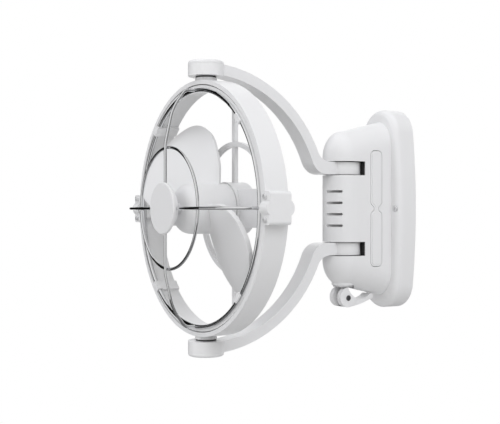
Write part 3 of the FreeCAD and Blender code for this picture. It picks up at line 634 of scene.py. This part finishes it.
# Pale floor far below: nearly white where it is seen, dim in reflections, and its edge fades away
white = (1, 1, 1, 1)
floorSet = {
    "z": -0.62, "size": 2.6, "colour": (0.76, 0.76, 0.76, 1), "rough": 0.8, "glow": 0.86,
    "fadeFrom": 0.55, "fadeTo": 1.20, "mirrorDim": 0.90,
}
deselectAll()
bpy.ops.mesh.primitive_plane_add(size=floorSet["size"], location=(0, 0, floorSet["z"]))
floor = bpy.context.object
floor.name = "studioFloor"
floorMaterial, shader, place = newFinish("paleFloor", {
    "Base Color": floorSet["colour"], "Roughness": floorSet["rough"]})
tree = floorMaterial.node_tree
direct, mirrored, through = rayKinds(tree)
glow = place.node("ShaderNodeEmission", {}, {
    "Color": white, "Strength": 1.0 - mirrored * floorSet["mirrorDim"]})
out = (place.axis("X") ** 2 + place.axis("Y") ** 2) ** 0.5
fade = out.rise(floorSet["fadeFrom"], floorSet["fadeTo"], floorSet["glow"], 1.0)
seen = (direct | mirrored | through) * fade
mixed = place.node("ShaderNodeMixShader", {}, {0: seen, 1: Sock(tree, shader.outputs[0]), 2: glow})
tree.links.new(mixed.out, tree.nodes["Material Output"].inputs["Surface"])
floor.data.materials.append(floorMaterial)
floor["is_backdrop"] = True

# Surround: even soft light, white to the camera. Reflections show a room that is brighter in front and
# above, with a lit backdrop behind the fan and a dark flag at its left
cameraSet = {
    "azimuth": 57.78, "elevation": 0.07, "place": (0.68987, -0.59630, -0.00201),
    "lens": 69.02, "sensor": 36.0, "clipStart": 50 * mm,
}
skySet = {
    "level": 0.55, "tint": (1.005, 1.0, 0.985, 1),
    "mirrorLevel": 0.42, "mirrorFront": 0.42, "mirrorTop": 0.25,
    "flagAzimuth": -72.0, "flagInner": 32.0, "flagOuter": 37.0, "flagTop": 0.80, "flagDark": 0.99,
    "backInner": 42.0, "backOuter": 60.0,
}
world = bpy.data.worlds.new("studioSurround")
bpy.context.scene.world = world
world.use_nodes = True
tree = world.node_tree
way = Sock(tree).node("ShaderNodeTexCoord", {}, {}, "Generated")
x, y, z = [way.axis(letter) for letter in "XYZ"]


# How far a way lies inside a patch of the surround, from 0 at its outer angle to 1 at its inner one
def patch(toward, inner, outer):
    return toward.rise(math.cos(math.radians(outer)), math.cos(math.radians(inner)))


def sky(colour, strength):
    return way.node("ShaderNodeBackground", {}, {"Color": colour, "Strength": strength})


flagWay = wayTo(skySet["flagAzimuth"], 0.0)
toFlag = (x * flagWay.x + y * flagWay.y) / (x * x + y * y) ** 0.5
flagged = patch(toFlag, skySet["flagInner"], skySet["flagOuter"]) * (abs(z) < skySet["flagTop"])
backWay = -wayTo(cameraSet["azimuth"], cameraSet["elevation"])
backdrop = patch(x * backWay.x + y * backWay.y, skySet["backInner"], skySet["backOuter"])
clearSky = (skySet["mirrorLevel"] - y * skySet["mirrorFront"] + z * skySet["mirrorTop"]) | backdrop
litSky = sky(skySet["tint"], skySet["level"])
mirrorSky = sky(white, clearSky * (1.0 - flagged * skySet["flagDark"]))
plainSky = sky(white, 1.0)
direct, mirrored, through = rayKinds(tree)
unseen = way.node("ShaderNodeMixShader", {}, {0: mirrored, 1: litSky, 2: mirrorSky})
surround = way.node("ShaderNodeMixShader", {}, {0: direct | through, 1: unseen, 2: plainSky})
tree.links.new(surround.out, tree.nodes["World Output"].inputs["Surface"])

# Three soft boxes above the fan: at its right, at its left front and over the camera
boxSet = {"distance": 1.8, "size": 1.5, "aim": Vector((0, -0.15, 0))}
softBoxes = {
    "rightBox": {"azimuth": 95, "lift": 45, "power": 11.6, "tint": (0.985, 1.0, 1.06)},
    "leftBox": {"azimuth": -30, "lift": 35, "power": 11.3, "tint": (0.985, 1.0, 1.06)},
    "cameraBox": {"azimuth": 50, "lift": 35, "power": 8.6, "tint": (1.0, 1.0, 1.0)},
}
for name, box in softBoxes.items():
    light = bpy.data.lights.new(name, "AREA")
    light.size = boxSet["size"]
    light.energy = box["power"]
    light.color = box["tint"]
    lamp = bpy.data.objects.new(name, light)
    bpy.context.scene.collection.objects.link(lamp)
    toLamp = wayTo(box["azimuth"], box["lift"])
    lamp.location = boxSet["aim"] + toLamp * boxSet["distance"]
    lamp.rotation_euler = (-toLamp).to_track_quat("-Z", "Y").to_euler()
    lamp.visible_glossy = False
print("stage and light set")

# Camera at the photograph's angle
cameraData = bpy.data.cameras.new("photoCamera")
cameraData.sensor_width = cameraSet["sensor"]
cameraData.lens = cameraSet["lens"]
cameraData.clip_start = cameraSet["clipStart"]
photoCamera = bpy.data.objects.new("photoCamera", cameraData)
bpy.context.scene.collection.objects.link(photoCamera)
photoCamera.location = cameraSet["place"]
photoCamera.rotation_euler = backWay.to_track_quat("-Z", "Y").to_euler()
bpy.context.scene.camera = photoCamera
bpy.context.scene.view_settings.view_transform = "Standard"

low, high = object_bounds()
